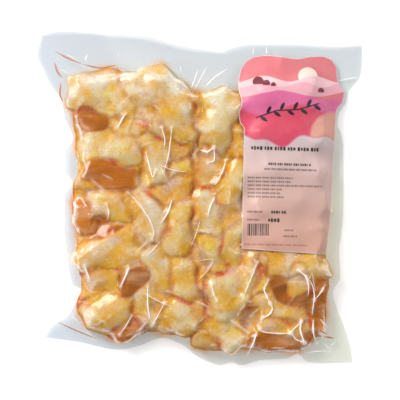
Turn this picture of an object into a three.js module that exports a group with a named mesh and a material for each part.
// A vacuum pack of raw chicken wings: a clear film pouch, drawn tight over a layer of folded wings,
// with a paper sticker label. Millimetres, +Z up. The pack lies on its back with the label up, and
// +Y points to the sealed mouth of the pouch. The origin is at the middle of the footprint, on the
// surface that the pack lies on.

import * as THREE from 'three';

// The pouch's footprint, from its outermost left to right and from its mouth to its foot.
const POUCH_WIDTH = 327;
const POUCH_LENGTH = 336;

// The margin, where the top and the bottom film lie on each other.
const MARGIN_THICKNESS = 1;
const MEETING_HEIGHT = 8;
const FREE_EDGE_HEIGHT = 2.4;
const MARGIN_FALL = 15;
const WAVE_HEIGHT = 0.9;
const WAVE_LENGTH = 58;

// The wings. A lobe is one drumette, flat, tip or fold of skin that shows as a bump.
const WAIST = 0.42;
const ROUNDNESS = 2.5;
const SIDE_FALL = 2.2;
const FILM_BRIDGE = 2.6;
const BELLY_WIDTH = 15;
const BALL_SPACING = 7;

// The label: a die-cut paper sticker that spans the dips between the wings.
const LABEL_THICKNESS = 0.5;
const LABEL_GAP = 0.35;
const LABEL_CLEAR_REACH = 3.5;
const LABEL_SPAN_REACH = 11;

// The grids that the two surfaces are made from.
const POUCH_COLUMNS = 60;
const POUCH_ROWS = 60;
const LABEL_COLUMNS = 13;
const LABEL_ROWS = 30;
const FLAT_INSET = { left: 6, right: 7, foot: 7, mouth: 11 };

const LEFT = -POUCH_WIDTH / 2;
const RIGHT = POUCH_WIDTH / 2;
const FOOT = -POUCH_LENGTH / 2;
const MOUTH = POUCH_LENGTH / 2;

// Four corners, and for each side its pulls: how far along the side, and how far the film is drawn
// in there by the vacuum. A negative pull bulges out.
const POUCH_CORNERS = {
  footLeft: [LEFT + 7.5, FOOT + 27.5],
  footRight: [RIGHT - 9.5, FOOT + 2],
  mouthLeft: [LEFT + 4, MOUTH - 4],
  mouthRight: [RIGHT, MOUTH - 14],
};
const POUCH_PULLS = {
  left: [
    [0, 0], [0.04, 8], [0.07, 23], [0.12, 33], [0.15, 44], [0.18, 28], [0.24, 25], [0.4, 21],
    [0.47, 22], [0.51, 30], [0.55, 23], [0.61, 23], [0.655, 31], [0.73, 23], [0.78, 20],
    [0.84, 8], [0.89, 1], [0.933, -4.2], [1, 0],
  ],
  right: [
    [0, 0], [0.05, 3], [0.12, 11], [0.17, 18], [0.225, 23], [0.27, 16], [0.36, 18], [0.4, 16],
    [0.5, 14.5], [0.67, 16], [0.72, 19], [0.75, 23], [0.785, 21.5], [0.82, 15], [0.845, 13.5],
    [0.875, 7], [0.9, 1.5], [0.93, 0], [1, 0],
  ],
  foot: [
    [0, 0], [0.1, -1], [0.23, -6], [0.3, -1], [0.385, 10], [0.44, 6], [0.5, -6.5],
    [0.567, -12.5], [0.61, -9], [0.633, -11.3], [0.7, -4.5], [0.79, 0], [0.82, 5.5],
    [0.85, -2.5], [0.88, -3], [1, 0],
  ],
  mouth: [
    [0, 0], [0.067, -4.7], [0.22, -2.5], [0.33, -1], [0.38, 3], [0.43, 7], [0.5, 10],
    [0.56, 11.5], [0.59, 7.5], [0.65, 3], [0.8, 2], [0.92, 2.3], [1, 0],
  ],
};

// The label leans a little. Its head is wider than its body, with soft humps all round.
const LABEL_CORNERS = {
  footLeft: [41.5, -50.5],
  footRight: [126, -56.5],
  mouthLeft: [46, 137],
  mouthRight: [132.5, 139],
};
const LABEL_PULLS = {
  left: [
    [0, 0], [0.63, -0.4], [0.675, -4.8], [0.71, -6], [0.78, -3.5], [0.85, -6.8], [0.89, -7],
    [0.95, -5.4], [1, 0],
  ],
  right: [
    [0, 0], [0.1, -2], [0.28, -4], [0.53, -5.2], [0.72, -6], [0.75, -7.5], [0.785, -12.5],
    [0.83, -14], [0.88, -7.4], [0.96, -5], [1, 0],
  ],
  foot: [[0, 0], [1, 0]],
  mouth: [
    [0, 0], [0.115, -5], [0.23, -5.9], [0.41, -4], [0.59, -1.6], [0.75, -3.6], [0.88, -4], [1, 0],
  ],
};

// Each lobe: its height, and the places [x, y, half width] that its spine runs through.
const LOBES = [
  // The lower wings, which fill the four columns from below.
  { height: 15, spine: [[-92, 96, 34], [-90, -112, 31]] },
  { height: 16, spine: [[-34, 86, 34], [-32, -106, 30]] },
  { height: 15, spine: [[20, 78, 27], [22, -126, 24]] },
  { height: 16, spine: [[86, 90, 34], [88, -118, 32]] },
  // Left column, from the mouth to the foot.
  { height: 28, spine: [[-116, 106, 21], [-78, 99, 22]] },
  { height: 24, spine: [[-115, 80, 11], [-98, 72, 10]] },
  { height: 26, spine: [[-104, 50, 15], [-74, 48, 18]] },
  { height: 26, spine: [[-76, 70, 11], [-55, 74, 13]] },
  { height: 25, spine: [[-106, 25, 14], [-76, 19, 17]] },
  { height: 22, spine: [[-119, -9, 12], [-114, -28, 12]] },
  { height: 26, spine: [[-96, -8, 15], [-74, -6, 18]] },
  { height: 19, spine: [[-102, -30, 10], [-82, -34, 9]] },
  { height: 27, spine: [[-111, -61, 15], [-74, -48, 20]] },
  { height: 23, spine: [[-106, -82, 12], [-88, -84, 14]] },
  { height: 27, spine: [[-72, -86, 13], [-62, -77, 12]] },
  { height: 26, spine: [[-99, -121, 15], [-80, -110, 18]] },
  { height: 24, spine: [[-57, -98, 13], [-50, -120, 14]] },
  { height: 21, spine: [[-80, -136, 9], [-60, -126, 12]] },
  // Second column.
  { height: 32, spine: [[-62, 112, 19], [-36, 104, 26], [-16, 72, 17]] },
  { height: 28, spine: [[-50, 84, 17], [-35, 70, 16]] },
  { height: 23, spine: [[-23, 49, 12], [-11, 47, 11]] },
  { height: 26, spine: [[-48, 50, 14], [-42, 22, 14]] },
  { height: 25, spine: [[-24, 30, 11], [-10, 34, 11]] },
  { height: 23, spine: [[-20, 6, 13], [-14, 16, 12]] },
  { height: 21, spine: [[-42, 4, 9], [-28, 2, 10]] },
  { height: 27, spine: [[-60, -4, 15], [-48, -34, 18]] },
  { height: 28, spine: [[-19, -14, 15], [-22, -44, 16]] },
  { height: 25, spine: [[-44, -62, 13], [-40, -84, 14]] },
  { height: 27, spine: [[-18, -72, 15], [-14, -86, 17]] },
  { height: 25, spine: [[-20, -114, 16], [-15, -124, 15]] },
  { height: 21, spine: [[-42, -114, 8], [-40, -128, 9]] },
  // Third column.
  { height: 29, spine: [[22, 92, 20], [14, 64, 18]] },
  { height: 23, spine: [[40, 68, 8], [38, 48, 9]] },
  { height: 23, spine: [[6, 40, 11], [8, 22, 13]] },
  { height: 26, spine: [[38, 28, 12], [28, -2, 13]] },
  { height: 26, spine: [[8, -6, 12], [10, -26, 14]] },
  { height: 24, spine: [[27, -16, 11], [30, -20, 10]] },
  { height: 25, spine: [[37, -28, 10], [31, -52, 11]] },
  { height: 25, spine: [[12, -50, 12], [14, -64, 13]] },
  { height: 21, spine: [[0, -62, 9], [1, -70, 9]] },
  { height: 27, spine: [[22, -88, 15], [20, -110, 15]] },
  { height: 21, spine: [[3, -109, 8], [8, -120, 8]] },
  { height: 25, spine: [[56, -62, 11], [40, -106, 8]] },
  { height: 24, spine: [[62, -64, 8], [58, -92, 8]] },
  { height: 24, spine: [[20, -136, 15], [30, -141, 14]] },
  { height: 18, spine: [[-1, -142, 9], [10, -148, 9]] },
  // Fourth column below the label.
  { height: 28, spine: [[72, -66, 14], [117, -70, 14]] },
  { height: 27, spine: [[98, -76, 12], [97, -90, 12]] },
  { height: 22, spine: [[76, -88, 12], [102, -104, 13]] },
  { height: 25, spine: [[64, -106, 10], [102, -118, 10]] },
  { height: 24, spine: [[66, -128, 10], [102, -130, 10]] },
  { height: 21, spine: [[52, -144, 11], [100, -143, 11]] },
  { height: 20, spine: [[119, -92, 10], [117, -130, 10]] },
  // Fourth column under the label.
  { height: 30, spine: [[60, 100, 18], [98, 104, 20]] },
  { height: 25, spine: [[113, 88, 14], [116, 58, 15]] },
  { height: 29, spine: [[62, 60, 18], [92, 66, 18]] },
  { height: 29, spine: [[66, 24, 18], [96, 28, 18]] },
  { height: 26, spine: [[117, 22, 14], [116, -8, 14]] },
  { height: 28, spine: [[62, -10, 16], [90, -6, 17]] },
  { height: 27, spine: [[64, -42, 15], [94, -38, 16]] },
  { height: 25, spine: [[114, -36, 14], [117, -50, 13]] },
];

// Raw wings are never quite straight or even. Each sway pushes the lobes sideways in a long wave,
// and each swell makes them thicker and thinner: how much, its turns per millimetre, its start.
const SWAYS = [
  { push: [2.2, 0], turns: [0, 1 / 61], start: 0.1 },
  { push: [1.5, 0], turns: [1 / 37, 1 / 37], start: 0.35 },
  { push: [0.8, 0], turns: [1 / 19, -1 / 32], start: 0.2 },
  { push: [0, 2.2], turns: [1 / 53, 0], start: 0.6 },
  { push: [0, 1.5], turns: [1 / 41, -1 / 41], start: 0.8 },
  { push: [0, 0.8], turns: [1 / 30, 1 / 21], start: 0.5 },
];
const SWELLS = [
  { share: 0.04, turns: [1 / 47, 1 / 70], start: 0.2 },
  { share: 0.04, turns: [-1 / 60, 1 / 39], start: 0.7 },
  { share: 0.03, turns: [1 / 23, 1 / 23], start: 0 },
];

// A smooth curve through pairs of along and value, which never overshoots them.
function curveThrough(pairs) {
  const rise = pairs.slice(1).map(([s, value], k) => (value - pairs[k][1]) / (s - pairs[k][0]));
  const slope = pairs.map((pair, k) => {
    if (k === 0) return rise[0];
    if (k === rise.length) return rise[k - 1];
    const before = rise[k - 1];
    const after = rise[k];
    return before * after <= 0 ? 0 : (2 * before * after) / (before + after);
  });
  return (s) => {
    let k = 0;
    while (k < pairs.length - 2 && s > pairs[k + 1][0]) k += 1;
    const span = pairs[k + 1][0] - pairs[k][0];
    const t = (s - pairs[k][0]) / span;
    const a = (1 + 2 * t) * (1 - t) ** 2 * pairs[k][1];
    const b = t * (1 - t) ** 2 * span * slope[k];
    const c = t * t * (3 - 2 * t) * pairs[k + 1][1];
    const d = t * t * (t - 1) * span * slope[k + 1];
    return a + b + c + d;
  };
}

// One side of an outline: a straight line between two corners, moved inward by its pulls.
function sideCurve(from, to, pulls, inward) {
  const pull = curveThrough(pulls);
  return (s) => [
    THREE.MathUtils.lerp(from[0], to[0], s) + inward[0] * pull(s),
    THREE.MathUtils.lerp(from[1], to[1], s) + inward[1] * pull(s),
  ];
}

// A patch spread evenly between four sides. It maps (u, v), each from 0 to 1, to a place [x, y].
function patchBetween(corners, pulls) {
  const { footLeft, footRight, mouthLeft, mouthRight } = corners;
  const left = sideCurve(footLeft, mouthLeft, pulls.left, [1, 0]);
  const right = sideCurve(footRight, mouthRight, pulls.right, [-1, 0]);
  const foot = sideCurve(footLeft, footRight, pulls.foot, [0, 1]);
  const mouth = sideCurve(mouthLeft, mouthRight, pulls.mouth, [0, -1]);
  return (u, v) => [0, 1].map((axis) => {
    const across = (1 - u) * left(v)[axis] + u * right(v)[axis];
    const along = (1 - v) * foot(u)[axis] + v * mouth(u)[axis];
    const low = (1 - u) * footLeft[axis] + u * footRight[axis];
    const high = (1 - u) * mouthLeft[axis] + u * mouthRight[axis];
    return across + along - (1 - v) * low - v * high;
  });
}

// The balls that a lobe is swept from, evenly spaced along its spine.
function ballsAlong({ height, spine }) {
  const stops = spine.map(([x, y, half]) => new THREE.Vector3(x, y, half));
  const path = new THREE.CatmullRomCurve3(stops);
  const steps = Math.ceil(path.getLength() / BALL_SPACING);
  return path.getSpacedPoints(steps).map((p) => ({ x: p.x, y: p.y, half: p.z, height }));
}
const BALLS = LOBES.map(ballsAlong);

// The height of a wave at a place, from -1 to 1.
function waveAt({ turns, start }, x, y) {
  return Math.sin(2 * Math.PI * (turns[0] * x + turns[1] * y + start));
}

// The height of one lobe over a place, and how far outside its waist the place lies.
function lobeAt(balls, x, y) {
  let top = -Infinity;
  let gap = Infinity;
  for (const ball of balls) {
    const distance = Math.hypot(x - ball.x, y - ball.y);
    const waist = WAIST * ball.height;
    const q = distance / ball.half;
    const dome = (ball.height - waist) * Math.max(1 - q ** ROUNDNESS, 0) ** (1 / ROUNDNESS);
    const side = SIDE_FALL * Math.min(ball.half - distance, 0);
    top = Math.max(top, waist + dome + side);
    gap = Math.min(gap, distance - ball.half);
  }
  return { top, gap };
}

// The margin's height: it falls from where the films meet to the free edge, in low waves.
function marginHeight(x, y, gap) {
  const away = 1 - Math.exp(-Math.max(gap, 0) / MARGIN_FALL);
  const turn = (2 * Math.PI) / WAVE_LENGTH;
  const wave = WAVE_HEIGHT * Math.sin(turn * (x + 0.4 * y)) * Math.cos(turn * (y - 0.3 * x));
  return MEETING_HEIGHT + away * (FREE_EDGE_HEIGHT - MEETING_HEIGHT + wave);
}

// The top film over a place: the highest lobe or the margin, with the creases bridged.
function filmAt(x, y) {
  const waves = SWAYS.map((sway) => waveAt(sway, x, y));
  const swayed = [x, y].map((place, axis) =>
    waves.reduce((total, wave, k) => total + wave * SWAYS[k].push[axis], place));
  const swell = SWELLS.reduce((total, wave) => total + wave.share * waveAt(wave, x, y), 1);
  const lobes = BALLS.map((balls) => lobeAt(balls, ...swayed));
  const gap = Math.min(...lobes.map((lobe) => lobe.gap));
  const margin = marginHeight(x, y, gap);
  const heights = [margin, ...lobes.map((lobe) => swell * lobe.top)];
  const highest = Math.max(...heights);
  const sum = heights.reduce((total, z) => total + Math.exp((z - highest) / FILM_BRIDGE), 0);
  return { top: highest + FILM_BRIDGE * Math.log(sum), gap, margin };
}

// The bottom film: flat under the wings, and curving up to meet the top film at the margin.
function bellyHeight(film) {
  const rise = THREE.MathUtils.clamp((film.gap + BELLY_WIDTH) / BELLY_WIDTH, 0, 1);
  const belly = (film.margin - MARGIN_THICKNESS) * (1 - Math.sqrt(1 - rise * rise));
  return Math.min(belly, film.top - MARGIN_THICKNESS);
}

// Points and triangles of a closed solid, gathered while its faces are laid.
class Shell {
  constructor() {
    this.points = [];
    this.triangles = [];
  }

  point(x, y, z) {
    this.points.push(x, y, z);
    return this.points.length / 3 - 1;
  }

  // Four corners, anticlockwise from outside, cut along one diagonal or, when turned, the other.
  cell(a, b, c, d, turned = false) {
    if (turned) this.triangles.push(b, c, d, b, d, a);
    else this.triangles.push(a, b, c, a, c, d);
  }

  mesh(name, material) {
    const geometry = new THREE.BufferGeometry();
    geometry.setAttribute('position', new THREE.Float32BufferAttribute(this.points, 3));
    geometry.setIndex(this.triangles);
    geometry.computeVertexNormals();
    const mesh = new THREE.Mesh(geometry, material);
    mesh.name = name;
    return mesh;
  }
}

// A grid of points, grid[row][column], from a function of (u, v).
function gridOf(shell, columns, rows, place) {
  return Array.from({ length: rows + 1 }, (_, j) =>
    Array.from({ length: columns + 1 }, (_, i) => shell.point(...place(i / columns, j / rows))));
}

// Lay the cells of a top grid facing up, and the same cells of an under grid facing down. Both are
// cut along the diagonal that bends the top less.
function layCells(shell, top, under, skipUnder = () => false) {
  const height = (corner) => shell.points[3 * corner + 2];
  for (let j = 0; j < top.length - 1; j += 1) {
    for (let i = 0; i < top[0].length - 1; i += 1) {
      const corners = (grid) => [grid[j][i], grid[j][i + 1], grid[j + 1][i + 1], grid[j + 1][i]];
      const [a, b, c, d] = corners(top);
      const turned = Math.abs(height(b) - height(d)) < Math.abs(height(a) - height(c));
      shell.cell(a, b, c, d, turned);
      if (skipUnder(i, j)) continue;
      const [e, f, g, h] = corners(under);
      shell.cell(e, h, g, f, turned);
    }
  }
}

// The grid points round a block of cells, anticlockwise from its low corner.
function ringOf(grid, i0, i1, j0, j1) {
  const ring = [];
  for (let i = i0; i < i1; i += 1) ring.push(grid[j0][i]);
  for (let j = j0; j < j1; j += 1) ring.push(grid[j][i1]);
  for (let i = i1; i > i0; i -= 1) ring.push(grid[j1][i]);
  for (let j = j1; j > j0; j -= 1) ring.push(grid[j][i0]);
  return ring;
}

// The narrow wall round the edge, between the top grid and the under grid.
function layRim(shell, top, under) {
  const columns = top[0].length - 1;
  const rows = top.length - 1;
  const high = ringOf(top, 0, columns, 0, rows);
  const low = ringOf(under, 0, columns, 0, rows);
  high.forEach((corner, k) => {
    const next = (k + 1) % high.length;
    shell.cell(low[k], low[next], high[next], corner);
  });
}

function makePouch() {
  const shell = new Shell();
  const patch = patchBetween(POUCH_CORNERS, POUCH_PULLS);
  const top = gridOf(shell, POUCH_COLUMNS, POUCH_ROWS, (u, v) => {
    const [x, y] = patch(u, v);
    return [x, y, filmAt(x, y).top];
  });

  // The pack rests on the middle of the bottom film, which is one flat face.
  const block = {
    i0: FLAT_INSET.left,
    i1: POUCH_COLUMNS - FLAT_INSET.right,
    j0: FLAT_INSET.foot,
    j1: POUCH_ROWS - FLAT_INSET.mouth,
  };
  const inBlock = (i, j) => i >= block.i0 && i <= block.i1 && j >= block.j0 && j <= block.j1;
  const under = Array.from({ length: POUCH_ROWS + 1 }, (_, j) =>
    Array.from({ length: POUCH_COLUMNS + 1 }, (_, i) => {
      const inside = inBlock(i - 1, j - 1) && inBlock(i + 1, j + 1);
      if (inside) return -1;
      const [x, y] = patch(i / POUCH_COLUMNS, j / POUCH_ROWS);
      return shell.point(x, y, inBlock(i, j) ? 0 : bellyHeight(filmAt(x, y)));
    }));

  layCells(shell, top, under, (i, j) => inBlock(i, j) && inBlock(i + 1, j + 1));
  layRim(shell, top, under);

  const ring = ringOf(under, block.i0, block.i1, block.j0, block.j1);
  const outline = ring.map((k) => new THREE.Vector2(shell.points[3 * k], shell.points[3 * k + 1]));
  for (const [a, b, c] of THREE.ShapeUtils.triangulateShape(outline, [])) {
    shell.triangles.push(ring[a], ring[c], ring[b]);
  }

  const film = new THREE.MeshStandardMaterial({ color: 0xe3c27e, roughness: 0.12, metalness: 0 });
  return shell.mesh('vacuum_pouch', film);
}

// The film's heights at eight places round a place.
function filmAround(x, y, reach) {
  return Array.from({ length: 8 }, (_, k) => {
    const angle = (k * Math.PI) / 4;
    return filmAt(x + reach * Math.cos(angle), y + reach * Math.sin(angle)).top;
  });
}

// The paper's underside over a place: clear of the film near there, and level across its dips.
function paperAt(x, y) {
  const near = filmAround(x, y, LABEL_CLEAR_REACH);
  const wide = filmAround(x, y, LABEL_SPAN_REACH);
  const level = wide.reduce((total, z) => total + z, 0) / wide.length;
  return Math.max(filmAt(x, y).top, level, ...near) + LABEL_GAP;
}

function makeLabel() {
  const shell = new Shell();
  const patch = patchBetween(LABEL_CORNERS, LABEL_PULLS);
  const sheet = (lift) => (u, v) => {
    const [x, y] = patch(u, v);
    return [x, y, paperAt(x, y) + lift];
  };
  const top = gridOf(shell, LABEL_COLUMNS, LABEL_ROWS, sheet(LABEL_THICKNESS));
  const under = gridOf(shell, LABEL_COLUMNS, LABEL_ROWS, sheet(0));
  layCells(shell, top, under);
  layRim(shell, top, under);

  const paper = new THREE.MeshStandardMaterial({ color: 0xe6c3bf, roughness: 0.55, metalness: 0 });
  return shell.mesh('label', paper);
}

const pack = new THREE.Group();
pack.add(makePouch(), makeLabel());

export default pack;
